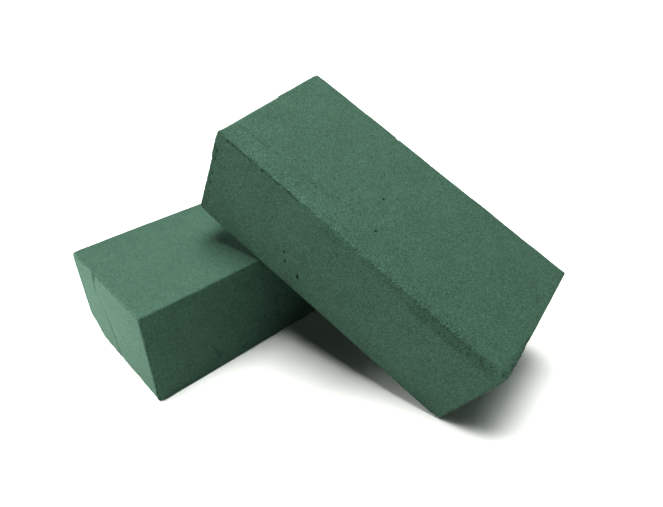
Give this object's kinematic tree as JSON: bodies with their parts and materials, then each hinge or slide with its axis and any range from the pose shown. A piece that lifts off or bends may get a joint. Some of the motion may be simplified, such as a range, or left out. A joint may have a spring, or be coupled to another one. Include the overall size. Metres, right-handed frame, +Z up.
{
  "type": "floral foam brick",
  "caption": "Rectangular green floral foam brick lying flat, with a like brick leaning across its long top edge and standing on one corner.",
  "frame": {"origin": "centre of the flat brick's underside, on the surface it lies on", "axes": "+X along the flat brick's length, +Y from the leaning brick's foot towards the flat brick, +Z up"},
  "size_m": [0.2409, 0.2887, 0.1866],
  "materials": {
    "foam": "matte"
  },
  "bodies": {
    "base": {"base_brick": "foam"},
    "leaning": {"leaning_brick": "foam"}
  },
  "joints": [
    {"name": "leaning_brick_lift", "type": "slide", "parent": "base", "child": "leaning", "axis": [0, 0, 1], "range_m": [0, 0.15]}
  ]
}
